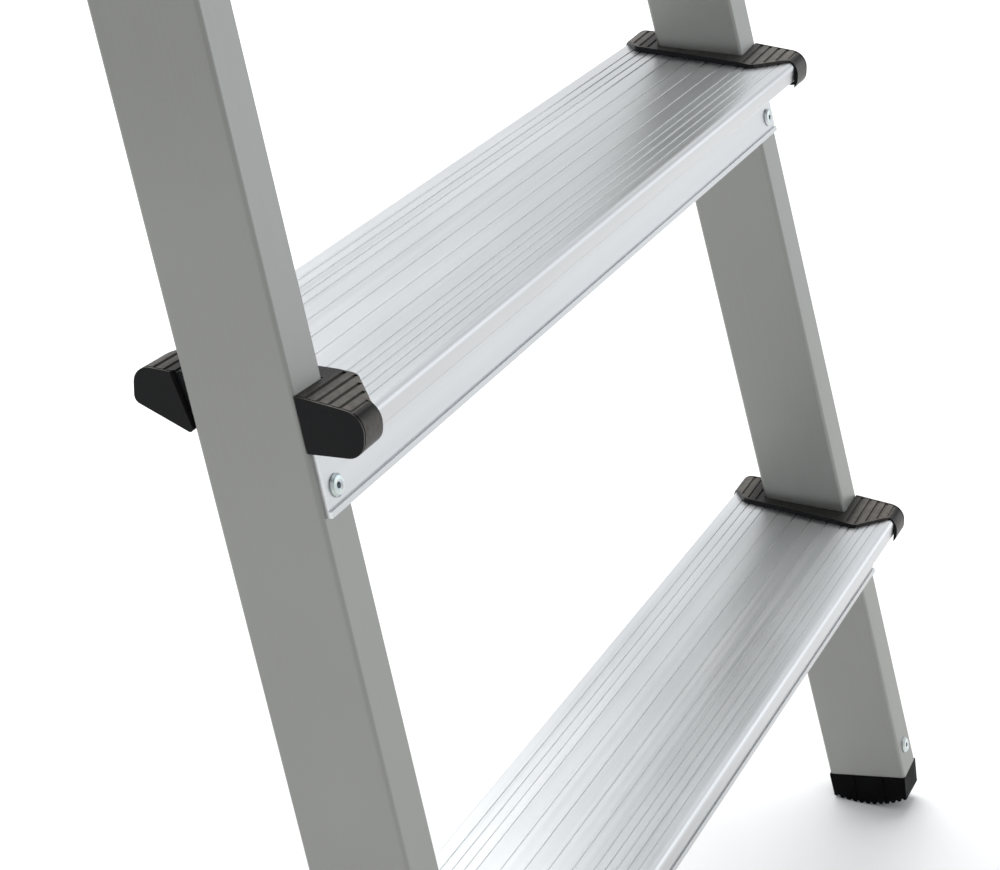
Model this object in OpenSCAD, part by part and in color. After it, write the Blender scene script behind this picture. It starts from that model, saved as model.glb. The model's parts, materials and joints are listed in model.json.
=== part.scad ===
// Folding household stepladder: a leaning front frame with grooved treads and end caps,
// a platform that lifts, a rear support frame that swings in, and a tool tray on top.
// Millimetres. X runs across the ladder, the climbing side faces -Y and +Z is up.

/* [Front frame] */
// Lean of the front frame from the vertical, degrees
lean = 14.6; // [14:0.1:15.2]
// Outward splay of each stile, degrees
flare = 3.06; // [2.9:0.02:3.2]
// Width over the stiles at the floor
base_w = 483; // [475:1:495]
// Height of the stile tops
stile_top = 1640; // [1600:5:1680]

/* [Stile tube] */
// Depth of a stile, front to back
stile_d = 40; // [39:0.5:41]
// Width of a stile
stile_w = 19; // [18:0.5:20]
// Wall of a stile
stile_wall = 1.3; // [1.1:0.1:1.6]
// Corner radius of a stile
stile_r = 1.6; // [1.5:0.1:2]

/* [Treads] */
// Height of the lowest tread's top
first_rise = 167.4; // [160:0.2:175]
// Height from one tread to the next
rise = 226.7; // [220:0.1:230]
// Overhang of the tread in front of the stile
tread_front = 22.5; // [21:0.5:23]
// Tread top from its nose to its rear edge
tread_depth = 81; // [80:0.5:84]
// Thickness of the tread plate and its skirts
tread_t = 1.6; // [1.4:0.1:1.8]
// Length of the front skirt along the stile
skirt_len = 38.4; // [36:0.2:40]

/* [Tread caps] */
// Height of a cap above the tread, at its outer face
cap_top = 3.6; // [3.2:0.1:4]
// Thickness of a cap's outer wall
cap_wall = 2.8; // [2.4:0.1:3.2]
// Width of the band beside the stile, at its front
cap_band = 9.8; // [8:0.2:11]

/* [Front feet] */
// Radius of the curved sole
sole_r = 46.7; // [45:0.1:50]
// Depth of the sole below the tube, at its middle
sole_mid = 18; // [17:0.5:19]
// How much more upright a foot stands than its stile, degrees
foot_turn = 3.5; // [2:0.5:5]

/* [Platform] */
// Depth of the platform behind the stiles' front plane
platform_back = 202.5; // [198:0.5:205]
// Gap between the platform and each stile
platform_gap = 10; // [9.5:0.1:11]
// Thickness of the platform's side plates
side_plate = 5; // [4.5:0.5:6]

/* [Rear frame] */
// Lean of the rear frame from the vertical, degrees
rear_lean = 17; // [16.8:0.1:17.2]
// Height of the rear frame's hinge
hinge_z = 1164; // [1160:1:1168]
// Distance of the hinge behind the stiles' front plane
hinge_back = 79; // [78:0.5:81]
// Depth of a rear leg, front to back
rear_d = 30; // [28:1:30]
// Width of a rear leg
rear_w = 20; // [19:0.5:20]
// Radius of the bar that the platform hooks over
bar_r = 9; // [8.5:0.1:9]

/* [Top tray] */
// Width of the tray
tray_w = 334; // [326:1:345]
// Depth of the tray
tray_d = 140; // [120:1:160]
// Height of the tray
tray_h = 45; // [40:1:60]

/* [Hidden] */
$fn = 48;
LEFT = -1;
RIGHT = 1;
far = 2200;               // longer than the ladder, for cutting bodies
tread_count = 4;
free = 0.1;               // play between fixed pieces
inner_r = 0.5;            // corners inside the tubes
spin_gap = 0.05;          // radial play of a turning pin

// Treads
tread_back = tread_depth - tread_front;
nose_h = 8.8;
nose_r = 3;
plate_r = 0.7;
groove_w = 1;
groove_h = 0.4;
tread_grooves = concat(
    [for (i = [0:4]) -16.4 + 3.85 * i],
    [for (i = [0:4]) 6.5 + 8.3 * i],
    [for (i = [0:2]) 43.9 + 4.2 * i]
);
bead_t = 2.2;
bead_len = 2.1;
groove_drop = 0.9;         // width of the groove above the bead
rear_skirt_low = 4.5;
rear_skirt_high = 9.5;
rear_skirt_inset = 5;
skirt_top = -1.2;          // the front skirt ends inside the plate
notch_play = 1;
end_inset = 2.4;

// Fasteners
rivet_r = 2;
rivet_head_r = 4;
rivet_head_h = 1.5;
rivet_grip = 3.2;
rivet_slack = 0.2;
front_rivet_s = -29.5;     // from the tread's height, up along the stile
rear_rivet_s = 2.5;
foot_rivet_rise = 13;
bracket_rivet_r = 2.5;
bracket_rivet_step = 34;

// Tread caps
cap_nose = tread_front + 1.7;
cap_tail = tread_back + 1.7;
cap_low = -15.3;
cap_skin = 0.15;
cap_slope = 0.076;         // fall of the top towards the nose
cap_crown = 2.9;           // fall of the top towards the middle of the tread, degrees
cap_rear_band = cap_band - 4.6;
cap_edge = [               // inner edge of the plan: [y, distance from the outer face, corner radius]
    [-cap_nose - 1, 12.3, 0],
    [2.5 - tread_front, 12.3, 2.5],
    [-6.8, stile_w + cap_band, 4],
    [stile_d + 11, stile_w + cap_rear_band, 4],
    [cap_tail + 1, 11.5, 0]
];
cap_recess_y = 44.9;       // rear edge of the recess behind the stile, at the tread's height
cap_recess_slope = 0.455;
cap_recess_low = -20;
cap_ribs = concat(
    [for (i = [0:4]) -2.9 - 4.1 * i],
    [for (i = [0:2]) stile_d + 5 + 4 * i]
);
cap_rib_r = 0.7;
cap_rib_in = 1.2;          // the grooves stop short of the inner edge
cap_rim = 0.7;
cap_channel_w = 0.5;
cap_web = 0.8;             // wall left behind the recess

// Feet
foot_rim = 0.4;
foot_rib_d = 7.6;          // from the middle of the foot's side
foot_rib_w = 1;
foot_rib_out = 0.4;
sole_gap = 0.05;
spigot_len = 30;
spigot_lap = 3;
spigot_r = 0.6;
tooth_count = 12;
tooth_h = 1.3;
rear_sole_r = 38;
rear_sole_mid = 14;

// Points of the front frame, measured up along the stile (s) and back from its front plane (d)
foot_lean = lean - foot_turn;
foot_half = stile_d / 2 + foot_rim;
sole_up = sole_r - sole_mid;  // from the tube's end to the middle of the sole's curve
tube_low = (sole_r - sole_up * cos(foot_lean) + stile_d / 2 * sin(lean)) / cos(lean);
tube_high = stile_top / cos(lean);
hinge_s = (hinge_z + hinge_back * sin(lean)) / cos(lean);
hinge_y = hinge_s * sin(lean) + hinge_back * cos(lean);
hinge_x = outer_x(hinge_s) - rear_w / 2;
pivot_drop = 20;
platform_z = tread_z(tread_count + 1);
pivot_z = platform_z - pivot_drop;
pivot_s = (pivot_z + stile_d / 2 * sin(lean)) / cos(lean);
pivot_y = pivot_s * sin(lean) + stile_d / 2 * cos(lean);

// Hinge
pin_r = 4;
press_gap = 0.02;          // radial play of a pin that is held
head_w = 22;
head_r = 15;
washer_t = 1;
washer_r = 11;
ear_gap = head_w / 2 + washer_t + 0.2;
ear_t = 3;
ear_r = 16;
ear_flare = 8;
bracket_h = 92;
pin_head_r = 7.5;
pin_head_h = 2.5;
pin_tail_r = 6;
pin_tail_h = 1.5;

// Rear frame, measured down along the leg from the hinge
leg_high = 26;
leg_r = 1.5;
sleeve_high = 30;
sleeve_low = 64;
sleeve_t = 2.2;
bar_drop = 125;
bar_wall = 1.6;
rear_sole_drop = (hinge_z - rear_sole_r) / cos(rear_lean);
leg_low = rear_sole_drop + rear_sole_r - rear_sole_mid;
crossbar_drops = [430, 750, 1070];
crossbar_h = 28;
crossbar_d = 11;
crossbar_t = 1.6;
crossbar_r = 1.2;
crossbar_rivet_step = 7;

// Platform, measured from the deck's top at the stiles' front plane
platform_y = platform_z * tan(lean);
pivot_v = pivot_y - platform_y;
pivot_half = outer_x(pivot_s) - stile_w / cos(flare) - platform_gap;
bar_v = hinge_y + bar_drop * sin(rear_lean) - platform_y;
bar_z = hinge_z - bar_drop * cos(rear_lean) - platform_z;
deck_skirt = 30;
deck_ribs = [55, 98, 176];
deck_rib_h = 15;
deck_grooves = concat(
    [for (i = [0:4]) -16.4 + 3.85 * i],
    [for (i = [0:20]) 6.5 + 8.3 * i],
    [for (i = [0:3]) 181 + 4.2 * i]
);
flange_w = 15;
flange_step = 0.3;         // the flanges lie in a shallow step along the deck's ends
boss_r = 12;
boss_l = 9;
spacer_gap = 0.9;
hook_low = -38;
hook_play_front = 5.2;
hook_play_back = 0.6;
hook_play_top = 0.3;
hook_w = 13;
side_over = 2.5;
flange_top = 3.2;
flange_rib_pitch = 7;
flange_rib_r = 0.75;
deck_rivet_sink = 1.2;
deck_rivets = [38, 165];
bolt_in = pivot_half - boss_l - 0.3;
bolt_out = outer_x(pivot_s) + 0.6;
bolt_head_r = 6;
bolt_flange_r = 7.5;
bolt_flange_t = 1.6;
nut_r = 7.5;
nut_t = 5.7;
nut_washer_r = 8;
nut_washer_t = 1.2;
spacer_r = 9;

// Tray
tray_wall = 3;
tray_back = 4;
rim_w = 5;
rim_h = 4;
socket_t = 2.6;
socket_len = 55;
socket_r = 3;
tray_r = 18;
divider_x = 40;
divider_drop = 12;
screw_drop = 28;

// Middle of the whole ladder, front to back: the soles' outer edges are its ends
sole_y = tube_low * sin(lean) + stile_d / 2 * cos(lean) + sole_up * sin(foot_lean);
sole_edge = sqrt(pow(sole_r, 2) - pow(foot_half, 2));
front_edge_y = sole_y - foot_half * cos(foot_lean) - sole_edge * sin(foot_lean);
rear_edge_d = rear_d / 2 + foot_rim;
rear_edge_s = rear_sole_drop + sqrt(pow(rear_sole_r, 2) - pow(rear_edge_d, 2));
rear_edge_y = hinge_y + rear_edge_s * sin(rear_lean) + rear_edge_d * cos(rear_lean);
origin_y = (front_edge_y + rear_edge_y) / 2;
tray_mid = stile_top * tan(lean) + stile_d / 2 + tray_back - origin_y;

// Colours
SATIN = [0.56, 0.57, 0.56];
MILL = [0.83, 0.84, 0.86];
ZINC = [0.72, 0.74, 0.76];
BLACK = [0.09, 0.09, 0.1];
NYLON = [0.85, 0.84, 0.8];

function tread_z(k) = first_rise + rise * (k - 1);
function tread_s(k) = tread_z(k) / cos(lean);
// Distance of a stile's outer face from the middle, s up along the front frame
function outer_x(s) = base_w / 2 - s * tan(flare);
// Length along a stile that reaches s up along the front frame
function along(s) = s / cos(flare);
// A point of the side view, d back from the stile's front plane and s up along it
function lean_point(d, s) = [d * cos(lean) + s * sin(lean), s * cos(lean) - d * sin(lean)];
function flat(p) = [p[0], p[1]];
function unit(v) = v / norm(v);
function short_turn(a) = a > 180 ? a - 360 : a < -180 ? a + 360 : a;

// The corner b between a and c, rounded to radius r with n steps
function corner(a, b, c, r, n) = r == 0 ? [b] :
    let (
        u = unit(a - b),
        v = unit(c - b),
        half = acos(u * v) / 2,
        middle = b + unit(u + v) * r / sin(half),
        from = b + u * r / tan(half) - middle,
        to = b + v * r / tan(half) - middle,
        start = atan2(from[1], from[0]),
        turn = short_turn(atan2(to[1], to[0]) - start)
    )
    [for (i = [0:n]) middle + r * [cos(start + turn * i / n), sin(start + turn * i / n)]];

// An outline from points [x, y, corner radius]
function rounded(pts, n = 4) = let (m = len(pts)) [
    for (i = [0:m - 1])
        each corner(flat(pts[(i + m - 1) % m]), flat(pts[i]), flat(pts[(i + 1) % m]), pts[i][2], n)
];

module rounded_rect(x0, y0, x1, y1, r) {
    polygon(rounded([[x0, y0, r], [x1, y0, r], [x1, y1, r], [x0, y1, r]]));
}

// Everything is drawn on the right and mirrored for the left
module on_side(side) {
    if (side == LEFT) mirror([1, 0, 0]) children();
    else children();
}

module both_sides() {
    children();
    mirror([1, 0, 0]) children();
}

// Extrudes a side view (y, z) along X
module along_x(length) {
    rotate([90, 0, 90]) linear_extrude(length, center = true) children();
}

module x_cylinder(r, x0, x1) {
    translate([x0, 0, 0]) rotate([0, 90, 0]) cylinder(r = r, h = x1 - x0);
}

module lean_frame() {
    translate([0, -origin_y, 0]) rotate([-lean, 0, 0]) children();
}

// The right stile: its outer face is x = 0, its front is y = 0 and z runs up it
module stile_frame() {
    lean_frame() translate([base_w / 2, 0, 0]) rotate([0, -flare, 0]) children();
}

// The right stile's lower end, cut square to the foot: z runs up from the cut
module tube_end() {
    stile_frame() translate([0, stile_d / 2, along(tube_low)]) rotate([foot_turn, 0, 0]) children();
}

module tread_frame(k) {
    translate([0, tread_z(k) * tan(lean) - origin_y, tread_z(k)]) children();
}

// The rear frame: y points back from it and z runs up it to the hinge
module rear_frame() {
    translate([0, hinge_y - origin_y, hinge_z]) rotate([rear_lean, 0, 0]) children();
}

// The right rear leg's own axis, from the hinge
module leg_frame() {
    rear_frame() translate([hinge_x, 0, 0]) rotate([0, -flare, 0]) children();
}

// The space between the stiles' outer faces
module between_faces(inset) {
    low = base_w / 2 - inset;
    high = low - far * tan(flare);
    lean_frame() rotate([90, 0, 0]) linear_extrude(far, center = true)
        polygon([[-low, 0], [low, 0], [high, far], [-high, far]]);
}

// Blind rivet, its head above z = 0 and its body below
module blind_rivet(r = rivet_r, head_r = rivet_head_r, grip = rivet_grip) {
    hole = 0.55 * r;
    head = rivet_head_h;
    shank = r - free / 2;
    rotate_extrude() polygon([
        [hole, -1], [hole, 0.75 * head], [r, head], [0.8 * head_r, 0.85 * head],
        [head_r, 0.3 * head], [head_r, 0], [shank, 0], [shank, -grip],
        [1.4 * r, -grip - 0.6], [1.2 * r, -grip - 4], [0, -grip - 4.6], [0, -1]
    ]);
}

module blind_hole(r = rivet_r) {
    translate([0, 0, -6]) cylinder(r = r, h = 12);
}

// Places a rivet at a tread's front skirt, then at its rear one, on the right
module at_tread_rivets(k) {
    stile_frame() {
        translate([-stile_w / 2, -tread_t, along(tread_s(k) + front_rivet_s)])
            rotate([90, 0, 0]) children();
        translate([-stile_w / 2, stile_d + tread_t, along(tread_s(k) + rear_rivet_s)])
            rotate([-90, 0, 0]) children();
    }
}

module at_foot_rivet() {
    stile_frame() translate([-stile_w / 2, 0, along(tube_low) + foot_rivet_rise])
        rotate([90, 0, 0]) children();
}

module at_bracket_rivets() {
    for (step = [-bracket_rivet_step, bracket_rivet_step])
        stile_frame() translate([-stile_w / 2, stile_d + ear_t, along(hinge_s) + step])
            rotate([-90, 0, 0]) children();
}

module at_tray_screw() {
    stile_frame() translate([socket_t, stile_d / 2, along(tube_high) - screw_drop])
        rotate([0, 90, 0]) children();
}

module at_pivot() {
    lean_frame() translate([0, stile_d / 2, pivot_s]) children();
}

// ---- Front frame ----

module stile(side) {
    low = along(tube_low) - stile_d / 2;
    high = along(tube_high);
    wall = stile_wall;
    color(SATIN) on_side(side) difference() {
        stile_frame() difference() {
            translate([0, 0, low]) linear_extrude(high - low)
                rounded_rect(-stile_w, 0, 0, stile_d, stile_r);
            translate([0, 0, low - 1]) linear_extrude(high - low + 2)
                rounded_rect(wall - stile_w, wall, -wall, stile_d - wall, inner_r);
        }
        tube_end() translate([-stile_d, -stile_d, -2 * stile_d]) cube(2 * stile_d);
        for (k = [1:tread_count]) at_tread_rivets(k) blind_hole();
        at_foot_rivet() blind_hole();
        at_bracket_rivets() blind_hole(bracket_rivet_r);
        at_tray_screw() blind_hole();
        at_pivot() x_cylinder(pin_r + spin_gap, pivot_half, outer_x(pivot_s) + stile_w);
    }
}

module skirt(d0, d1, s0, s1) {
    polygon([lean_point(d0, s0), lean_point(d1, s0), lean_point(d1, s1), lean_point(d0, s1)]);
}

module groove_cut(y) {
    top = groove_w / 2;
    low = groove_w / 4;
    polygon([[y - top, 0.1], [y + top, 0.1], [y + low, -groove_h], [y - low, -groove_h]]);
}

// The plate and its hollow rounded nose
module plate_and_nose(back, grooves) {
    nose_y = nose_r - tread_front;
    skirt_y = -nose_h * tan(lean) - tread_t / 2;
    inner_y = tread_t - tread_front;
    inner_z = tread_t - nose_h;
    difference() {
        union() {
            polygon(rounded([
                [nose_y, 0, 0], [back, 0, plate_r], [back, -tread_t, 0], [nose_y, -tread_t, 0]
            ]));
            polygon(rounded([
                [-tread_front, 0, nose_r], [0, 0, 0], [skirt_y, -nose_h, 0], [-tread_front, -nose_h, 1]
            ]));
        }
        polygon(rounded([
            [inner_y, -tread_t, nose_r - tread_t], [-tread_t - 1, -tread_t, 0],
            [skirt_y - 1, inner_z, 0], [inner_y, inner_z, 0.5]
        ]));
        for (y = grooves) groove_cut(y);
    }
}

// The front skirt, with a groove above its thicker bottom edge
module front_skirt() {
    bead_s = bead_len - skirt_len;
    difference() {
        union() {
            skirt(-tread_t, 0, -skirt_len, skirt_top);
            skirt(-bead_t, 0, -skirt_len, bead_s);
        }
        skirt(-tread_t - 1, groove_h - tread_t, bead_s, bead_s + groove_drop);
    }
}

module tread_section(length, rear_length) {
    along_x(length) plate_and_nose(tread_back, tread_grooves);
    along_x(length) front_skirt();
    along_x(rear_length) skirt(stile_d, stile_d + tread_t, -rear_skirt_low, rear_skirt_high);
}

// The space that a stile takes out of the treads
module stile_notch() {
    stile_frame() translate([-stile_w - notch_play, 0, 0]) cube([3 * stile_w, stile_d, far]);
}

// The plate ends at the caps' outer walls, the front skirt below them at the stiles' outer faces
module tread(k) {
    face = outer_x(tread_s(k));
    color(MILL) difference() {
        intersection() {
            tread_frame(k) tread_section(base_w + 50, 2 * (face - rear_skirt_inset));
            between_faces(end_inset);
        }
        both_sides() {
            stile_notch();
            at_tread_rivets(k) blind_hole();
        }
        difference() {
            tread_frame(k) translate([-base_w, -tread_depth, cap_low + 0.25])
                cube([2 * base_w, 3 * tread_depth, 2 * tread_front]);
            between_faces(cap_wall + 2 * free);
        }
    }
}

// Height of a cap's top at its outer face, y back from the stiles' front plane
function cap_top_z(y) = cap_top + cap_slope * min(y, 0);

// Side view of a cap's lower half: rounded nose in front, slanting tail behind
module cap_low_outline(inset) {
    front = inset - cap_nose;
    back = cap_tail - inset;
    low = cap_low + inset;
    polygon(rounded([
        [-cap_nose - 1, 20, 0], [-cap_nose - 1, 0, 0], [front, 0, 0], [front, low + 2.2, 6],
        [0, low, 0], [stile_d - 3.5, low + 3.3, 0], [stile_d - 1.2, low - 0.9, 1.2],
        [back, low + 6.4, 3], [back, 0, 0],
        [cap_tail + 1, 0, 0], [cap_tail + 1, 20, 0]
    ], 6));
}

// Side view of a cap's top, rounded down at both ends
module cap_top_outline(inset) {
    front = inset - cap_nose;
    back = cap_tail - inset;
    polygon(rounded([
        [front, -40, 0], [front, cap_top_z(front) - inset, 7.5 - inset], [0, cap_top - inset, 0],
        [back, cap_top - inset, 6 - inset], [back, -40, 0]
    ], 8));
}

// The side views carried along x, the top falling inwards
module cap_bar(inset) {
    intersection() {
        along_x(120) cap_low_outline(inset);
        rotate([0, cap_crown, 0]) along_x(120) cap_top_outline(inset);
    }
}

// Plan view of a cap, its outer face on x = 0
module cap_plan() {
    polygon(rounded(concat(
        [[-2, -cap_nose - 1, 0]],
        [for (p = cap_edge) [p[1], p[0], p[2]]],
        [[-2, cap_tail + 1, 0]]
    )));
}

// The tread's plate fills this space inside a cap
module cap_hollow() {
    front = -tread_front - cap_skin;
    back = tread_back + cap_skin;
    polygon(rounded([
        [front, free, nose_r + cap_skin], [back, free, plate_r], [back, -40, 0], [front, -40, 0]
    ]));
}

// The recessed wedge in a cap's outer face, behind the stile
module cap_recess() {
    function edge(z) = cap_recess_y + cap_recess_slope * z;
    polygon(rounded([
        [stile_w, cap_recess_low, 0], [edge(cap_recess_low), cap_recess_low, 0], [edge(1.5), 1.5, 2],
        [edge(1.5) + 1.2, cap_top + 1, 0], [stile_w, cap_top + 1, 0]
    ]));
}

// Grooves across a cap's top
module cap_grooves() {
    edge = [for (p = cap_edge) [p[0], p[1]]];
    for (y = cap_ribs) translate([0, y, cap_top_z(y)])
        x_cylinder(cap_rib_r, -2, lookup(y, edge) - cap_rib_in);
}

// The right stile's outer face at tread k: x inwards, y back and z up
module cap_frame(k) {
    tread_frame(k) translate([outer_x(tread_s(k)), 0, 0]) mirror([1, 0, 0]) children();
}

// What is taken out of a cap: hollow, grooves inside the rim, a channel along the rim, and the recess
module cap_cuts(k) {
    intersection() {
        cap_frame(k) along_x(120) cap_hollow();
        between_faces(cap_wall);
    }
    intersection() {
        cap_frame(k) rotate([0, cap_crown, 0]) cap_grooves();
        between_faces(cap_rim);
    }
    difference() {
        between_faces(cap_rim);
        between_faces(cap_rim + cap_channel_w);
        cap_frame(k) cap_bar(cap_channel_w);
    }
    difference() {
        cap_frame(k) along_x(stile_w) cap_recess();
        between_faces(cap_wall - cap_web);
    }
    stile_frame() translate([-stile_w - cap_skin, -cap_skin, 0])
        cube([3 * stile_w, stile_d + 2 * cap_skin, far]);
}

module tread_cap(k, side) {
    color(BLACK) on_side(side) difference() {
        intersection() {
            cap_frame(k) cap_bar(0);
            cap_frame(k) translate([0, 0, -30]) linear_extrude(60) cap_plan();
            between_faces(0);
        }
        cap_cuts(k);
    }
}

module tread_rivets() {
    color(ZINC) both_sides() for (k = [1:tread_count]) at_tread_rivets(k) blind_rivet();
}

// Side view of a curved serrated sole around [0, 0], half its depth each way, closed at height top
module sole_outline(r, half, top) {
    reach = asin(half / r);
    pitch = 2 * reach / tooth_count;
    polygon(concat(
        [[half, top], [-half, top]],
        [for (i = [0:tooth_count - 1], j = [0:3])
            let (
                a = -reach + pitch * (i + 0.12 + [0, 0.18, 0.58, 0.76][j]),
                q = (j == 0 || j == 3) ? r - tooth_h : r
            )
            [q * sin(a), -q * cos(a)]]
    ));
}

// A slab of the foot under the tube's end, d0 to d1 from its middle and out past its sides
module foot_slab(d0, d1, out) {
    translate([-stile_w - out, d0, -stile_d])
        cube([stile_w + 2 * out, d1 - d0, stile_d - sole_gap]);
}

module front_foot(side) {
    fit = stile_wall + cap_skin;
    rib = foot_rib_w / 2;
    color(BLACK) on_side(side) difference() {
        union() {
            intersection() {
                lean_frame() translate([base_w / 2, stile_d / 2, tube_low])
                    rotate([foot_turn, 0, 0]) translate([0, 0, sole_up])
                    along_x(120) sole_outline(sole_r, foot_half, spigot_lap - sole_up);
                tube_end() {
                    foot_slab(-stile_d, stile_d, foot_rim);
                    for (d = [-foot_rib_d, foot_rib_d])
                        foot_slab(d - rib, d + rib, foot_rim + foot_rib_out);
                }
            }
            stile_frame() translate([0, 0, along(tube_low) - spigot_lap]) linear_extrude(spigot_len)
                rounded_rect(fit - stile_w, fit, -fit, stile_d - fit, spigot_r);
        }
        at_foot_rivet() blind_hole(1.5 * rivet_r);
    }
}

module foot_rivets() {
    color(ZINC) both_sides() at_foot_rivet() blind_rivet(grip = stile_wall + rivet_slack);
}

// ---- Hinge of the rear frame ----

module hinge_bracket(side) {
    out = ear_gap + ear_t;
    half = bracket_h / 2;
    tip = hinge_back + ear_r;
    root = ear_r + ear_flare;
    color(ZINC) on_side(side) difference() {
        lean_frame() translate([hinge_x, 0, hinge_s]) difference() {
            union() {
                translate([0, stile_d, 0]) along_x(2 * out)
                    polygon(rounded([[0, -half, 0], [ear_t, -half, 1], [ear_t, half, 1], [0, half, 0]]));
                for (x = [-1, 1] * (ear_gap + ear_t / 2)) translate([x, 0, 0]) along_x(ear_t)
                    polygon(rounded([
                        [stile_d, -root, 0], [tip, -ear_r, ear_r - 1],
                        [tip, ear_r, ear_r - 1], [stile_d, root, 0]
                    ], 8));
            }
            translate([0, hinge_back, 0]) x_cylinder(pin_r + press_gap, -2 * out, 2 * out);
        }
        at_bracket_rivets() blind_hole(bracket_rivet_r);
    }
}

module hinge_rivets() {
    color(ZINC) both_sides() at_bracket_rivets()
        blind_rivet(bracket_rivet_r, 2 * bracket_rivet_r, ear_t + stile_wall + rivet_slack);
}

module hinge_pins() {
    out = ear_gap + ear_t;
    color(ZINC) both_sides() translate([hinge_x, hinge_y - origin_y, hinge_z]) {
        x_cylinder(pin_r, -out - pin_tail_h, out + 0.5);
        x_cylinder(pin_tail_r, -out - pin_tail_h - spin_gap, -out - spin_gap);
        x_cylinder(pin_head_r, out + spin_gap, out + pin_head_h);
    }
}

module hinge_washers() {
    color(NYLON) both_sides() translate([hinge_x, hinge_y - origin_y, hinge_z])
        for (x = [free - ear_gap, head_w / 2 + free]) difference() {
            x_cylinder(washer_r, x, x + washer_t);
            x_cylinder(pin_r + free, x - 1, x + washer_t + 1);
        }
}

// ---- Rear frame ----

module rear_head(side) {
    half_w = rear_w / 2 + sleeve_t;
    half_d = rear_d / 2 + sleeve_t;
    bore_w = rear_w / 2 + cap_skin;
    bore_d = rear_d / 2 + cap_skin;
    low = -sleeve_high - 2;
    color(BLACK) on_side(side) difference() {
        union() {
            rear_frame() translate([hinge_x, 0, 0]) along_x(head_w) polygon(rounded([
                [-head_r, head_r, head_r - 1], [head_r, head_r, head_r - 1],
                [head_r, low, 0], [-head_r, low, 0]
            ], 8));
            leg_frame() translate([0, 0, -sleeve_low]) linear_extrude(sleeve_low - sleeve_high)
                rounded_rect(-half_w, -half_d, half_w, half_d, 3);
        }
        leg_frame() translate([0, 0, -leg_low]) linear_extrude(leg_low - leg_high)
            rounded_rect(-bore_w, -bore_d, bore_w, bore_d, leg_r);
        rear_frame() x_cylinder(pin_r + spin_gap, 0, far);
        at_head_rivet() blind_hole();
    }
}

module at_head_rivet() {
    leg_frame() translate([0, rear_d / 2 + sleeve_t, -(sleeve_high + sleeve_low) / 2])
        rotate([-90, 0, 0]) children();
}

module at_crossbar_rivets() {
    for (drop = crossbar_drops, step = [-crossbar_rivet_step, crossbar_rivet_step])
        leg_frame() translate([0, rear_d / 2 + crossbar_t, along(-drop) + step])
            rotate([-90, 0, 0]) children();
}

module rear_leg(side) {
    low = along(leg_low);
    half_w = rear_w / 2;
    half_d = rear_d / 2;
    in_w = half_w - stile_wall;
    in_d = half_d - stile_wall;
    color(SATIN) on_side(side) difference() {
        leg_frame() difference() {
            translate([0, 0, -low]) linear_extrude(low - leg_high)
                rounded_rect(-half_w, -half_d, half_w, half_d, leg_r);
            translate([0, 0, -low - 1]) linear_extrude(far)
                rounded_rect(-in_w, -in_d, in_w, in_d, inner_r);
        }
        at_head_rivet() blind_hole();
        at_crossbar_rivets() blind_hole();
        rear_frame() translate([0, 0, -bar_drop]) x_cylinder(bar_r + free, 0, bar_end() + 1);
    }
}

// The bar ends inside each leg's inner wall
function bar_end() = hinge_x + bar_drop * tan(flare) - rear_w / 2 + 6;

module rear_top_bar() {
    color(SATIN) rear_frame() translate([0, 0, -bar_drop]) difference() {
        x_cylinder(bar_r, -bar_end(), bar_end());
        x_cylinder(bar_r - bar_wall, -bar_end() - 1, bar_end() + 1);
    }
}

module rear_crossbar(i) {
    drop = crossbar_drops[i - 1];
    half = hinge_x + drop * tan(flare) + rear_w / 2 - leg_r;
    out_h = crossbar_h / 2;
    in_h = out_h - crossbar_t;
    lip = crossbar_d + 1;
    color(SATIN) difference() {
        rear_frame() translate([0, rear_d / 2, -drop]) along_x(2 * half) difference() {
            rounded_rect(0, -out_h, crossbar_d, out_h, crossbar_r);
            polygon([[crossbar_t, -in_h], [lip, -in_h], [lip, in_h], [crossbar_t, in_h]]);
        }
        both_sides() at_crossbar_rivets() blind_hole();
    }
}

module rear_rivets() {
    color(ZINC) both_sides() {
        at_crossbar_rivets() blind_rivet();
        at_head_rivet() blind_rivet(grip = sleeve_t + stile_wall + 2 * rivet_slack);
    }
}

module rear_foot(side) {
    half_d = rear_d / 2 + foot_rim;
    half_w = rear_w / 2 + foot_rim;
    in_w = rear_w / 2 - stile_wall - cap_skin;
    in_d = rear_d / 2 - stile_wall - cap_skin;
    color(BLACK) on_side(side) {
        intersection() {
            rear_frame() translate([base_w / 2, 0, -rear_sole_drop]) along_x(160)
                sole_outline(rear_sole_r, half_d, -rear_sole_r + rear_sole_mid + spigot_lap);
            leg_frame() translate([-half_w, -rear_d, -far])
                cube([2 * half_w, 2 * rear_d, far - along(leg_low) - sole_gap]);
        }
        leg_frame() translate([0, 0, -along(leg_low) - spigot_lap]) linear_extrude(spigot_len)
            rounded_rect(-in_w, -in_d, in_w, in_d, spigot_r);
    }
}

// ---- Platform ----

// Plan of the platform, narrowing to the back as the stiles do, inset from its sides
module platform_plan(inset, y0, y1) {
    function half(y) = pivot_half - inset - (y - pivot_v) * tan(flare);
    polygon([[-half(y0), y0], [half(y0), y0], [half(y1), y1], [-half(y1), y1]]);
}

// An upright web under the deck, from y back and down to the depth given
module deck_web(y, depth) {
    polygon([[y, -1], [y + tread_t, -1], [y + tread_t, -depth], [y, -depth]]);
}

module deck_profile() {
    plate_and_nose(platform_back, deck_grooves);
    deck_web(-tread_t, deck_skirt);
    deck_web(platform_back - tread_t, deck_skirt);
    for (y = deck_ribs) deck_web(y, deck_rib_h);
}

module at_deck_rivets() {
    for (y = deck_rivets)
        tread_frame(tread_count + 1)
            translate([pivot_half - flange_w / 2 - 3 - (y - pivot_v) * tan(flare), y, flange_top])
                children();
}

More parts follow.
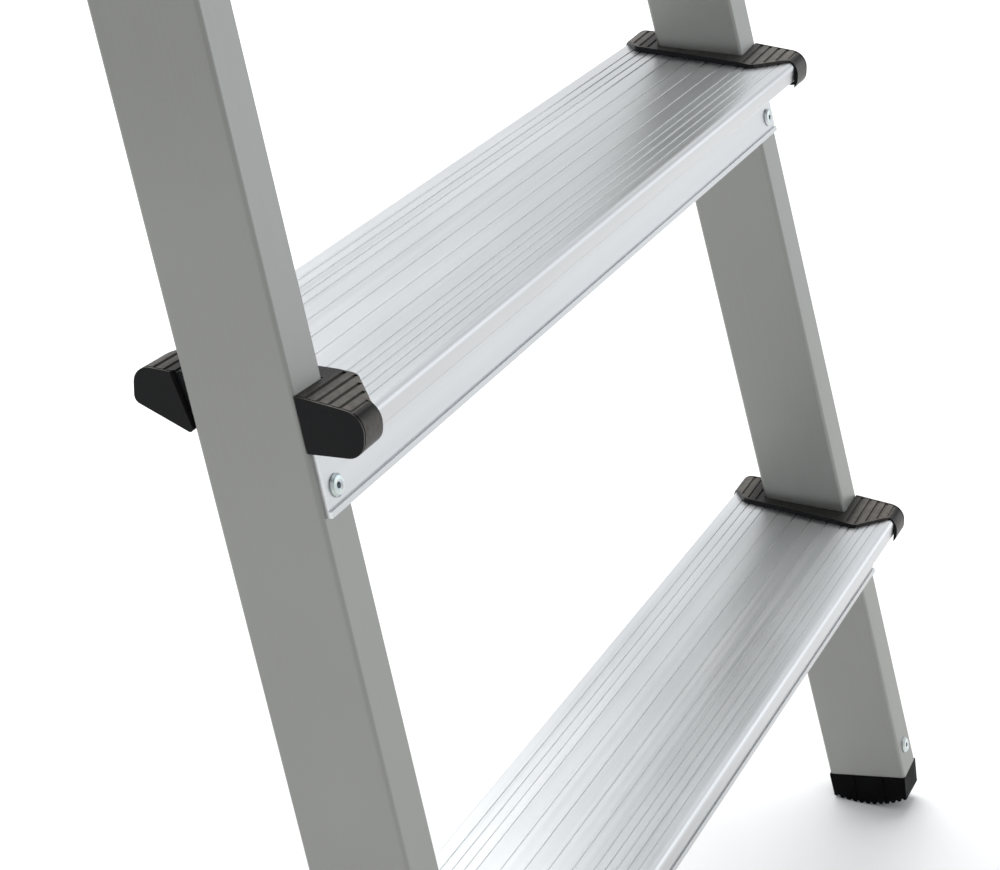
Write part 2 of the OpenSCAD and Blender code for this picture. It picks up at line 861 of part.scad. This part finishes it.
module platform_deck() {
    color(MILL) difference() {
        tread_frame(tread_count + 1) intersection() {
            along_x(base_w) deck_profile();
            translate([0, 0, -60]) linear_extrude(80)
                platform_plan(side_plate + free, -tread_front - 1, platform_back + 1);
        }
        tread_frame(tread_count + 1) translate([0, 0, -flange_step]) linear_extrude(5) difference() {
            platform_plan(0, -tread_front - 10, platform_back + 10);
            platform_plan(flange_w + free, -tread_front - 20, platform_back + 20);
        }
        both_sides() at_deck_rivets() translate([0, 0, -10]) cylinder(r = rivet_r, h = 12);
    }
}

module side_outline() {
    front = -tread_front - side_over;
    back = platform_back + side_over;
    low = -deck_skirt - 4;
    hook_top = bar_z + bar_r + hook_play_top;
    hook_shoulder = bar_z + 0.6 * bar_r;
    hook_front = bar_v - bar_r - hook_play_front;
    hook_back = bar_v + bar_r + hook_play_back;
    polygon(rounded([
        [front, flange_top, 6], [back, flange_top, 6], [back, low + 2, 6],
        [hook_back + hook_w + 10, low + 2, 4], [hook_back + hook_w, hook_low, 4],
        [hook_back, hook_low, 0], [hook_back, hook_shoulder, 0], [bar_v + 0.6 * bar_r, hook_top, 0],
        [hook_front + 0.4 * bar_r, hook_top, 0], [hook_front, hook_shoulder, 0],
        [hook_front, hook_low, 0], [hook_front - hook_w, hook_low, 4], [hook_front - hook_w - 10, low, 4],
        [pivot_v, low, 10], [-tread_t - 4, -16, 4], [front, -12, 4]
    ], 5));
}

module platform_side(side) {
    color(BLACK) on_side(side) difference() {
        tread_frame(tread_count + 1) {
            difference() {
                intersection() {
                    along_x(base_w) side_outline();
                    translate([0, 0, -80]) linear_extrude(120) difference() {
                        platform_plan(0, -tread_front - 10, platform_back + 10);
                        platform_plan(flange_w, -tread_front - 20, platform_back + 20);
                    }
                    translate([0, -100, -80]) cube([base_w, 500, 120]);
                }
                translate([0, 0, -80]) linear_extrude(80 - flange_step + free)
                    platform_plan(side_plate, -tread_front - cap_skin, platform_back + cap_skin);
                for (i = [0:30]) translate([0, -18 + flange_rib_pitch * i, flange_top + 0.3])
                    x_cylinder(flange_rib_r, 0, base_w / 2);
            }
            translate([0, pivot_v, -pivot_drop]) intersection() {
                x_cylinder(boss_r, pivot_half - boss_l, pivot_half);
                translate([0, -pivot_v, 0]) linear_extrude(60, center = true)
                    platform_plan(0, -tread_front, platform_back);
            }
        }
        at_pivot() x_cylinder(pin_r + spin_gap, 0, base_w / 2);
        at_deck_rivets() translate([0, 0, -10]) cylinder(r = rivet_r, h = 20);
        at_deck_rivets() translate([0, 0, -deck_rivet_sink]) cylinder(r = rivet_head_r + free, h = 3);
    }
}

module platform_rivets() {
    shank = rivet_r - free;
    tail = 1.5 * rivet_r;
    low = -flange_top - 1;
    color(ZINC) both_sides() at_deck_rivets() translate([0, 0, free - deck_rivet_sink])
        rotate_extrude() polygon([
            [0, 0.4], [1.2, 0.8], [rivet_head_r - 0.6, 1], [rivet_head_r, 0.5], [rivet_head_r, 0],
            [shank, 0], [shank, low], [tail, low - 0.4], [tail, low - 1.4], [0, low - 1.4]
        ]);
}

module platform_bolts() {
    color(ZINC) both_sides() at_pivot() {
        x_cylinder(pin_r, bolt_in - nut_washer_t - nut_t - 0.6, bolt_out + 0.5);
        x_cylinder(bolt_flange_r, bolt_out, bolt_out + bolt_flange_t);
        x_cylinder(bolt_head_r, bolt_out + bolt_flange_t - free, bolt_out + 2 * bolt_flange_t);
    }
}

module platform_nuts() {
    washer_x = bolt_in - nut_washer_t;
    color(ZINC) both_sides() at_pivot() difference() {
        union() {
            x_cylinder(nut_washer_r, washer_x, bolt_in);
            translate([washer_x - nut_t + free, 0, 0]) rotate([0, 90, 0])
                cylinder(r = nut_r, h = nut_t, $fn = 6);
        }
        x_cylinder(pin_r + press_gap, 0, base_w / 2);
    }
}

module platform_spacers() {
    color(NYLON) both_sides() difference() {
        at_pivot() x_cylinder(spacer_r, pivot_half + spacer_gap, outer_x(pivot_s) - 2);
        stile_frame() translate([-stile_w - free, -1, 0]) cube([3 * stile_w, stile_d + 2, far]);
        at_pivot() x_cylinder(pin_r + press_gap, 0, base_w / 2);
    }
}

// ---- Tray ----

// A block of the tray between two heights, its sides moved outwards by grow
module tray_block(grow, z0, z1) {
    half_w = tray_w / 2 + grow;
    half_d = tray_d / 2 + grow;
    translate([0, tray_mid, stile_top + z0]) linear_extrude(z1 - z0)
        rounded_rect(-half_w, -half_d, half_w, half_d, tray_r + grow);
}

module tray_socket() {
    rounded_rect(-stile_w - socket_t, -socket_t, socket_t, stile_d + socket_t, socket_r);
}

module top_tray() {
    color(BLACK) difference() {
        union() {
            difference() {
                union() {
                    tray_block(0, 0.2, tray_h);
                    tray_block(rim_w, tray_h - rim_h, tray_h);
                }
                tray_block(-tray_wall, tray_wall, tray_h + 1);
            }
            translate([divider_x, tray_mid - tray_d / 2 + 1, stile_top + 1])
                cube([tray_wall, tray_d - 2, tray_h - divider_drop]);
            both_sides() intersection() {
                stile_frame() translate([0, 0, along(tube_high) - socket_len])
                    linear_extrude(socket_len + 30) tray_socket();
                translate([0, tray_mid - tray_d, stile_top - far]) cube([base_w, 2 * tray_d, far + 1]);
            }
        }
        both_sides() {
            stile_frame() linear_extrude(along(tube_high) + free)
                rounded_rect(-stile_w - free, -free, free, stile_d + free, stile_r);
            at_tray_screw() blind_hole();
        }
    }
}

module tray_screws() {
    color(ZINC) both_sides() at_tray_screw() blind_rivet(grip = socket_t + stile_wall + rivet_slack);
}

stile(LEFT);  // stile_left
stile(RIGHT);  // stile_right
tread(1);  // tread_1
tread(2);  // tread_2
tread(3);  // tread_3
tread(4);  // tread_4
tread_cap(1, LEFT);  // cap_1_left
tread_cap(1, RIGHT);  // cap_1_right
tread_cap(2, LEFT);  // cap_2_left
tread_cap(2, RIGHT);  // cap_2_right
tread_cap(3, LEFT);  // cap_3_left
tread_cap(3, RIGHT);  // cap_3_right
tread_cap(4, LEFT);  // cap_4_left
tread_cap(4, RIGHT);  // cap_4_right
tread_rivets();
front_foot(LEFT);  // front_foot_left
front_foot(RIGHT);  // front_foot_right
foot_rivets();
hinge_bracket(LEFT);  // hinge_bracket_left
hinge_bracket(RIGHT);  // hinge_bracket_right
hinge_rivets();
hinge_pins();
hinge_washers();
rear_head(LEFT);  // rear_head_left
rear_head(RIGHT);  // rear_head_right
rear_leg(LEFT);  // rear_leg_left
rear_leg(RIGHT);  // rear_leg_right
rear_top_bar();
rear_crossbar(1);  // rear_crossbar_1
rear_crossbar(2);  // rear_crossbar_2
rear_crossbar(3);  // rear_crossbar_3
rear_rivets();
rear_foot(LEFT);  // rear_foot_left
rear_foot(RIGHT);  // rear_foot_right
platform_deck();
platform_side(LEFT);  // platform_side_left
platform_side(RIGHT);  // platform_side_right
platform_rivets();
platform_bolts();
platform_nuts();
platform_spacers();
top_tray();
tray_screws();
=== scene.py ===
"""Looks of the folding stepladder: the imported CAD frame, rounded edges and procedural materials."""

import json
import math

import bpy
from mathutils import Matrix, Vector


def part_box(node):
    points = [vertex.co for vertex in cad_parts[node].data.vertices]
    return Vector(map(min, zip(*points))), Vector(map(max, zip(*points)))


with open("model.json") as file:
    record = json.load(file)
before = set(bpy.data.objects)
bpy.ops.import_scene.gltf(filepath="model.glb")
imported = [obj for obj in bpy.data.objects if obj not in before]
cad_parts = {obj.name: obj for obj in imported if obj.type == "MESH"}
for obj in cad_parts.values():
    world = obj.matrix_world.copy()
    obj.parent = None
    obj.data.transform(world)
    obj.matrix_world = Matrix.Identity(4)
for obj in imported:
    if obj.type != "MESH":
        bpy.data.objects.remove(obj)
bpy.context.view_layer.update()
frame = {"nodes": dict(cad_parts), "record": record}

nodes = frame["nodes"]

# The members' angles from the vertical, as in the CAD source, in radians
LEAN = math.radians(14.6)
FLARE = math.radians(3.06)
REAR_LEAN = math.radians(17)
LEFT, RIGHT = -1, 1
# Middle of the stiles' depth, measured across their lean from a stile's lowest corner
STILE_DEPTH = 0.040
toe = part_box("stile_left")[0]
STILE_MIDDLE = toe.y * math.cos(LEAN) - toe.z * math.sin(LEAN) + STILE_DEPTH / 2


# ---- Camera ----

CAMERA_PLACE = Vector((-0.8197, -0.6205, 0.7070))
CAMERA_TURN = math.radians(24.58)  # from +X towards +Y
CAMERA_DIP = math.radians(25.07)  # below the horizon
CAMERA_LENS = 87.04


def add_camera():
    data = bpy.data.cameras.new("camera")
    data.lens = CAMERA_LENS
    data.sensor_width = 36
    data.clip_start = 0.01
    camera = bpy.data.objects.new("camera", data)
    bpy.context.scene.collection.objects.link(camera)
    ahead = Vector(
        (
            math.cos(CAMERA_TURN) * math.cos(CAMERA_DIP),
            math.sin(CAMERA_TURN) * math.cos(CAMERA_DIP),
            -math.sin(CAMERA_DIP),
        )
    )
    camera.location = CAMERA_PLACE
    camera.rotation_euler = ahead.to_track_quat("-Z", "Y").to_euler()
    bpy.context.scene.camera = camera


add_camera()


# ---- Materials ----


class Nodes:
    """A material being wired. Each method adds a node and returns one of its outputs."""

    def __init__(self, name):
        self.material = bpy.data.materials.new(name)
        self.material.use_nodes = True
        self.tree = self.material.node_tree
        self.tree.nodes.clear()
        self.shader = self.tree.nodes.new("ShaderNodeBsdfPrincipled")
        output = self.tree.nodes.new("ShaderNodeOutputMaterial")
        self.tree.links.new(self.shader.outputs[0], output.inputs["Surface"])

    def put(self, socket, value):
        """Links another node's output to a socket, or sets the socket to a number or a colour."""
        if isinstance(value, bpy.types.NodeSocket):
            self.tree.links.new(value, socket)
        elif hasattr(socket.default_value, "__len__") and len(socket.default_value) == 4:
            socket.default_value = (*value[:3], 1)
        else:
            socket.default_value = value

    def set(self, **inputs):
        """Shader inputs by name, with _ for a space."""
        for name, value in inputs.items():
            self.put(self.shader.inputs[name.replace("_", " ")], value)

    def member(self, tilt=0.0, splay=0.0):
        """Object coordinates turned so that Z runs along a leaning member."""
        place = self.tree.nodes.new("ShaderNodeTexCoord").outputs["Object"]
        turn = self.tree.nodes.new("ShaderNodeMapping")
        turn.inputs["Rotation"].default_value = (tilt, splay, 0)
        self.put(turn.inputs["Vector"], place)
        return turn.outputs["Vector"]

    def stretched(self, place, scales):
        """A place scaled axis by axis, which draws a texture out along the axes with low scales."""
        node = self.tree.nodes.new("ShaderNodeMapping")
        node.inputs["Scale"].default_value = scales
        self.put(node.inputs["Vector"], place)
        return node.outputs["Vector"]

    def noise(self, place, scale=1.0, detail=2.0, roughness=0.5):
        node = self.tree.nodes.new("ShaderNodeTexNoise")
        self.put(node.inputs["Vector"], place)
        node.inputs["Scale"].default_value = scale
        node.inputs["Detail"].default_value = detail
        node.inputs["Roughness"].default_value = roughness
        return node.outputs["Fac"]

    def along(self, place, axis):
        """One coordinate of a place, in metres."""
        split = self.tree.nodes.new("ShaderNodeSeparateXYZ")
        self.put(split.inputs[0], place)
        return split.outputs[axis]

    def facing(self, axis):
        """How much the surface's own normal points along an axis, as 0.5 plus half of it."""
        normal = self.tree.nodes.new("ShaderNodeTexCoord").outputs["Normal"]
        return self.sum(0.5, self.along(normal, axis), 0.5)

    def around(self, axis):
        """The direction around an axis, for brushed highlights."""
        node = self.tree.nodes.new("ShaderNodeTangent")
        node.direction_type = "RADIAL"
        node.axis = axis
        return node.outputs[0]

    def cells(self, place, scale):
        """Distance to the nearest cell's centre, and each cell's own colour."""
        node = self.tree.nodes.new("ShaderNodeTexVoronoi")
        self.put(node.inputs["Vector"], place)
        node.inputs["Scale"].default_value = scale
        return node.outputs["Distance"], node.outputs["Color"]

    def spread(self, value, low, high, start=0.3, end=0.7):
        """A noise's middle range stretched to low..high."""
        node = self.tree.nodes.new("ShaderNodeMapRange")
        self.put(node.inputs["Value"], value)
        for name, number in (
            ("From Min", start),
            ("From Max", end),
            ("To Min", low),
            ("To Max", high),
        ):
            node.inputs[name].default_value = number
        return node.outputs["Result"]

    def ramp(self, value, *stops):
        """Colours by value, from (position, colour) stops."""
        node = self.tree.nodes.new("ShaderNodeValToRGB")
        self.put(node.inputs["Fac"], value)
        points = node.color_ramp.elements
        while len(points) < len(stops):
            points.new(0.5)
        for point, (position, colour) in zip(points, stops):
            point.position = position
            point.color = (*colour, 1)
        return node.outputs["Color"]

    def blend(self, share, a, b, mode="MIX"):
        node = self.tree.nodes.new("ShaderNodeMix")
        node.data_type = "RGBA"
        node.blend_type = mode
        self.put(node.inputs[0], share)
        self.put(node.inputs[6], a)
        self.put(node.inputs[7], b)
        return node.outputs[2]

    def maths(self, operation, *values):
        node = self.tree.nodes.new("ShaderNodeMath")
        node.operation = operation
        for socket, value in zip(node.inputs, values):
            self.put(socket, value)
        return node.outputs[0]

    def sum(self, a, b, factor=1.0):
        """a + b * factor"""
        return self.maths("MULTIPLY_ADD", b, factor, a)

    def times(self, a, b):
        return self.maths("MULTIPLY", a, b)

    def greater(self, a, b):
        return self.maths("MAXIMUM", a, b)

    def bump(self, height, distance, strength=1.0, normal=None):
        node = self.tree.nodes.new("ShaderNodeBump")
        self.put(node.inputs["Height"], height)
        node.inputs["Distance"].default_value = distance
        node.inputs["Strength"].default_value = strength
        if normal is not None:
            self.put(node.inputs["Normal"], normal)
        return node.outputs["Normal"]


def satin_aluminium(name, tilt=0.0, splay=0.0, across=False):
    """Grey anodised tube: faint draw lines along the member and soft clouds."""
    n = Nodes(name)
    place = n.member(tilt, splay)
    fine, long = 1100, 5  # the scale across the draw lines and along them
    lines = n.noise(
        n.stretched(place, (long, fine, fine) if across else (fine, fine, long)), detail=3
    )
    clouds = n.noise(place, scale=9, detail=3)
    grain = n.noise(place, scale=1900, detail=1)
    grey = n.ramp(clouds, (0.3, (0.276, 0.278, 0.264)), (0.7, (0.314, 0.317, 0.303)))
    streaked = n.blend(n.spread(lines, 0.0, 0.3), grey, (0.335, 0.338, 0.325))
    n.set(
        Base_Color=streaked,
        Metallic=0.85,
        Roughness=n.sum(n.spread(clouds, 0.40, 0.46), n.spread(lines, -0.03, 0.03)),
        Normal=n.bump(grain, 0.00002, 0.25, n.bump(lines, 0.00002, 0.3)),
    )
    return n.material


def mill_aluminium(name):
    """Bright extrusion: dense die lines along X, broader bands, light smears, and painted shade on
    the skirts.
    """
    n = Nodes(name)
    place = n.member()
    fine = n.noise(n.stretched(place, (3.0, 1300, 1300)), detail=3)
    bands = n.noise(n.stretched(place, (1.2, 160, 160)), detail=2)
    smears = n.noise(n.stretched(place, (7, 22, 22)), detail=3)
    metal = n.ramp(bands, (0.3, (0.79, 0.81, 0.825)), (0.7, (0.88, 0.892, 0.905)))
    metal = n.blend(n.spread(fine, 0.0, 0.25), metal, (0.91, 0.915, 0.92))
    # Painted shade: faces turned to the front, the skirts, are darkened to about two thirds of the
    # metal's colour
    shaded_front = n.spread(n.facing("Y"), 1.0, 0.0, 0.02, 0.30)
    metal = n.blend(shaded_front, metal, n.blend(1.0, metal, (0.64, 0.635, 0.63), "MULTIPLY"))
    n.set(
        Base_Color=metal,
        Metallic=1.0,
        Roughness=n.sum(n.spread(smears, 0.30, 0.39), n.spread(fine, -0.04, 0.04)),
        Anisotropic=0.4,
        Tangent=n.around("X"),
        Normal=n.bump(fine, 0.00002, 0.2),
    )
    return n.material


def black_plastic(name, sheen_and_wear):
    """Moulded black plastic with a fine spark grain, brownish grey on top and at the front as wear
    and painted sheen.
    """
    n = Nodes(name)
    place = n.member()
    grain, _ = n.cells(place, 1500)
    clouds = n.noise(place, scale=26, detail=3)
    specks = n.noise(place, scale=420, detail=3)
    black = n.ramp(clouds, (0.3, (0.003, 0.0032, 0.004)), (0.7, (0.005, 0.0052, 0.006)))
    # Brownish grey, partly wear and partly painted sheen, laid on the faces turned up and to the
    # front
    scuff_and_sheen = n.ramp(specks, (0.3, (0.085, 0.077, 0.068)), (0.7, (0.135, 0.124, 0.112)))
    top = n.spread(n.facing("Z"), 0.0, 1.0, 0.90, 0.985)
    nose = n.spread(n.facing("Y"), 0.55, 0.0, 0.03, 0.18)
    # Painted shadow of the stile: almost none of the brownish wear and sheen beside the stile, and
    # all of it where a cap stands out from it
    beside = n.maths("ABSOLUTE", n.sum(-STILE_MIDDLE, n.along(n.member(LEAN), "Y")))
    sheen_outside_stile_shadow = n.spread(beside, 0.15 * sheen_and_wear, sheen_and_wear, STILE_DEPTH / 2 + 0.003, STILE_DEPTH / 2 + 0.009)
    n.set(
        Base_Color=n.blend(n.times(sheen_outside_stile_shadow, n.greater(top, nose)), black, scuff_and_sheen),
        Roughness=n.sum(n.spread(clouds, 0.34, 0.42), n.spread(grain, -0.04, 0.04)),
        Specular_IOR_Level=0.16,
        Normal=n.bump(grain, 0.00006, 0.3, n.bump(n.noise(place, 320, 2), 0.00005, 0.2)),
    )
    return n.material


def foot_rubber(name):
    """Dull black rubber, slightly dusty."""
    n = Nodes(name)
    place = n.member()
    dust = n.noise(place, scale=70, detail=4)
    grain = n.noise(place, scale=1300, detail=2)
    n.set(
        Base_Color=n.ramp(dust, (0.35, (0.001, 0.001, 0.0013)), (0.75, (0.003, 0.003, 0.0034))),
        Roughness=n.spread(dust, 0.48, 0.62),
        Specular_IOR_Level=0.05,
        Normal=n.bump(grain, 0.00008, 0.4),
    )
    return n.material


def zinc_steel(name):
    """Zinc plate: cool grey with small mottled patches."""
    n = Nodes(name)
    place = n.member()
    _, patches = n.cells(place, 420)
    clouds = n.noise(place, scale=150, detail=3)
    metal = n.ramp(clouds, (0.3, (0.50, 0.56, 0.56)), (0.7, (0.66, 0.70, 0.70)))
    n.set(
        Base_Color=n.blend(0.12, metal, patches, "SOFT_LIGHT"),
        Metallic=1.0,
        Roughness=n.spread(clouds, 0.26, 0.4),
        Normal=n.bump(clouds, 0.00003, 0.3),
    )
    return n.material


def white_nylon(name):
    """Off-white nylon."""
    n = Nodes(name)
    place = n.member()
    clouds = n.noise(place, scale=90, detail=3)
    n.set(
        Base_Color=n.ramp(clouds, (0.3, (0.70, 0.69, 0.63)), (0.7, (0.80, 0.79, 0.74))),
        Roughness=n.spread(clouds, 0.38, 0.5),
        Subsurface_Weight=0.1,
        Subsurface_Scale=0.002,
        Normal=n.bump(n.noise(place, 900, 2), 0.00004, 0.3),
    )
    return n.material


FINISHES = {
    "stile_left": satin_aluminium("satin_stile_left", LEAN, LEFT * FLARE),
    "stile_right": satin_aluminium("satin_stile_right", LEAN, RIGHT * FLARE),
    "rear_leg_left": satin_aluminium("satin_leg_left", -REAR_LEAN, LEFT * FLARE),
    "rear_leg_right": satin_aluminium("satin_leg_right", -REAR_LEAN, RIGHT * FLARE),
}
bars = satin_aluminium("satin_bars", across=True)
for bar in ("rear_top_bar", "rear_crossbar_1", "rear_crossbar_2", "rear_crossbar_3"):
    FINISHES[bar] = bars
# The caps take the full brownish wear and painted sheen, other black plastic a quarter of it
cap_black = black_plastic("cap_black", sheen_and_wear=1.0)
for number in range(1, 5):
    for side in ("left", "right"):
        FINISHES[f"cap_{number}_{side}"] = cap_black
SLOT_FINISHES = {
    "mill_aluminium": mill_aluminium("mill_metal"),
    "black_plastic": black_plastic("moulded_black", sheen_and_wear=0.25),
    "foot_rubber": foot_rubber("foot_black"),
    "zinc_steel": zinc_steel("zinc_plate"),
    "white_nylon": white_nylon("nylon"),
}


# ---- Edges ----


SHARP_ANGLE = math.radians(32)  # edges sharper than this are creases
SEAM_GAP = 5e-6  # the CAD's faces are separate sheets, and their edges meet within this


class Group:
    """A geometry node group that takes a mesh and gives it back changed."""

    def __init__(self, name):
        self.tree = bpy.data.node_groups.new(name, "GeometryNodeTree")
        for way in ("INPUT", "OUTPUT"):
            self.tree.interface.new_socket(
                "Geometry", in_out=way, socket_type="NodeSocketGeometry"
            )
        self.start, self.end = self.add("NodeGroupInput"), self.add("NodeGroupOutput")

    def add(self, kind, **settings):
        node = self.tree.nodes.new(kind)
        for name, value in settings.items():
            setattr(node, name, value)
        return node

    def link(self, output, socket):
        self.tree.links.new(output, socket)

    def chain(self, *steps):
        """Passes the mesh through the steps, from the group's input to its output."""
        for before, after in zip((self.start, *steps), (*steps, self.end)):
            self.link(before.outputs[0], after.inputs[0])

    def edge_angle(self, operation):
        """Which edges have an angle above or below the sharp angle."""
        angle = self.add("GeometryNodeInputMeshEdgeAngle")
        compare = self.add("FunctionNodeCompare", data_type="FLOAT", operation=operation)
        compare.inputs["B"].default_value = SHARP_ANGLE
        self.link(angle.outputs["Unsigned Angle"], compare.inputs["A"])
        return compare.outputs[0]


def smoothing_group():
    """Joins a node's split faces and shades it smooth between sharp edges."""
    group = Group("joined_and_smooth")
    plain = group.add("GeometryNodeRemoveAttribute")
    plain.inputs["Name"].default_value = "custom_normal"
    join = group.add("GeometryNodeMergeByDistance")
    join.inputs["Distance"].default_value = SEAM_GAP
    faces = group.add("GeometryNodeSetShadeSmooth", domain="FACE")
    edges = group.add("GeometryNodeSetShadeSmooth", domain="EDGE")
    group.link(group.edge_angle("LESS_THAN"), edges.inputs["Shade Smooth"])
    group.chain(plain, join, faces, edges)
    return group.tree


def edge_group(shortest):
    """Marks the sharp edges to be rounded, leaving out those not longer than shortest."""
    group = Group("edges_to_round")
    ends = group.add("GeometryNodeInputMeshEdgeVertices")
    length = group.add("ShaderNodeVectorMath", operation="DISTANCE")
    long = group.add("FunctionNodeCompare", operation="GREATER_THAN")
    long.inputs["B"].default_value = shortest
    both = group.add("FunctionNodeBooleanMath", operation="AND")
    weight = group.add("GeometryNodeStoreNamedAttribute", data_type="FLOAT", domain="EDGE")
    weight.inputs["Name"].default_value = "bevel_weight_edge"
    group.link(ends.outputs["Position 1"], length.inputs[0])
    group.link(ends.outputs["Position 2"], length.inputs[1])
    group.link(length.outputs["Value"], long.inputs["A"])
    group.link(group.edge_angle("GREATER_THAN"), both.inputs[0])
    group.link(long.outputs[0], both.inputs[1])
    group.link(both.outputs[0], weight.inputs["Value"])
    group.chain(weight)
    return group.tree


JOINED = smoothing_group()
SHORT_EDGES = edge_group(shortest=0.0005)
LONG_EDGES = edge_group(shortest=0.1)
EDGE_WIDTHS = {
    "satin_aluminium": 0.0002,
    "mill_aluminium": 0.00012,
    "black_plastic": 0.00015,
    "foot_rubber": 0.0002,
    "zinc_steel": 0.00012,
    "white_nylon": 0.0002,
}


def soften(node, width, edges, segments=2):
    """Joins a CAD node's faces, rounds its sharp edges by width and evens its shading."""
    piece = nodes[node]
    piece.modifiers.new("join", "NODES").node_group = JOINED
    flat = piece.modifiers.new("flat", "DECIMATE")
    flat.decimate_type = "DISSOLVE"
    flat.angle_limit = math.radians(0.3)
    piece.modifiers.new("marked", "NODES").node_group = edges
    edge = piece.modifiers.new("edge", "BEVEL")
    edge.width = width
    edge.segments = segments
    edge.limit_method = "WEIGHT"
    edge.use_clamp_overlap = True
    edge.harden_normals = True
    even = piece.modifiers.new("even", "WEIGHTED_NORMAL")
    even.weight = 90
    even.keep_sharp = True


for part in frame["record"]["subparts"]:
    name, slot = part["node"], part["material_slot"]
    soften(name, EDGE_WIDTHS[slot], LONG_EDGES if slot == "mill_aluminium" else SHORT_EDGES)
    nodes[name].material_slots[0].material = FINISHES.get(name) or SLOT_FINISHES[slot]


# ---- Floor and light ----


def add_floor(size=40):
    """A plain pale floor, far wider than what any view shows."""
    bpy.ops.mesh.primitive_plane_add(size=size)
    floor = bpy.context.object
    floor.name = "floor"
    n = Nodes("pale_floor")
    clouds = n.noise(n.member(), scale=1.5, detail=2)
    n.set(
        Base_Color=n.ramp(clouds, (0.3, (0.86, 0.86, 0.86)), (0.7, (0.88, 0.88, 0.88))),
        Roughness=0.9,
    )
    floor.data.materials.append(n.material)


def add_softbox(name, place, target, width, height, power, colour=(1, 1, 1)):
    """A rectangular light of so many watts at a place, turned to a target."""
    data = bpy.data.lights.new(name, "AREA")
    data.shape = "RECTANGLE"
    data.size, data.size_y = width, height
    data.energy = power
    data.color = colour
    lamp = bpy.data.objects.new(name, data)
    bpy.context.scene.collection.objects.link(lamp)
    lamp.location = place
    lamp.rotation_euler = (Vector(target) - Vector(place)).to_track_quat("-Z", "Y").to_euler()


def add_sky(strength):
    world = bpy.data.worlds.new("studio")
    bpy.context.scene.world = world
    world.use_nodes = True
    back = world.node_tree.nodes["Background"]
    back.inputs["Color"].default_value = (0.97, 0.985, 1, 1)
    back.inputs["Strength"].default_value = strength


add_floor()
add_sky(0.7)
add_softbox("top", (1.0, 0.9, 3.2), (0.7, 0.5, 0), width=2.6, height=2.6, power=120)
COOL_WHITE = (0.88, 0.94, 1)
add_softbox("front", (3.2, -3.0, 0.7), (0, -0.2, 0.5), 3.0, 2.0, power=21, colour=COOL_WHITE)
bpy.context.scene.view_settings.view_transform = "Standard"
